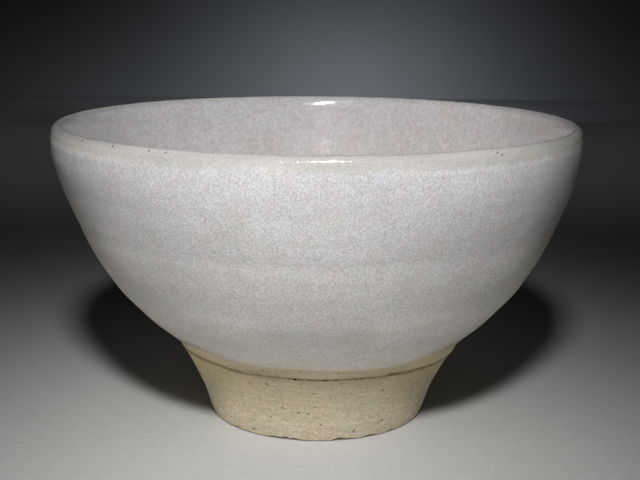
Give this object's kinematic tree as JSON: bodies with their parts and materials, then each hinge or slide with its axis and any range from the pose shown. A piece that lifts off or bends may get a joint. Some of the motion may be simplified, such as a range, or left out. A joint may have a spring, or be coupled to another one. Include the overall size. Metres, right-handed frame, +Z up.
{
  "type": "tea bowl",
  "caption": "Wide stoneware tea bowl on a tall flared foot, with a pale speckled glaze inside and out and a bare buff foot; holds and serves tea.",
  "frame": {"origin": "centre of the underside of the foot, on the surface that the bowl stands on", "axes": "+Z up along the bowl's axis; the bowl is round, so X and Y are any two level directions"},
  "size_m": [0.1302, 0.1302, 0.0743],
  "materials": {
    "bowl_clay": "bare unglazed buff stoneware with fine grit and small iron specks",
    "foot_clay": "bare unglazed buff stoneware with turning marks and small iron specks",
    "seam_slip": "rough, darker, iron-stained slip in the joint",
    "glaze_outside": "satin pale lavender-grey glaze with fine mottle, cream where it runs thin at the lip",
    "glaze_inside": "glossy pale lavender-grey glaze with a softer mottle"
  },
  "bodies": {
    "root": {"clay_bowl": "bowl_clay", "foot_ring": "foot_clay", "luting_slip": "seam_slip", "outer_glaze": "glaze_outside", "inner_glaze": "glaze_inside"}
  },
  "joints": []
}
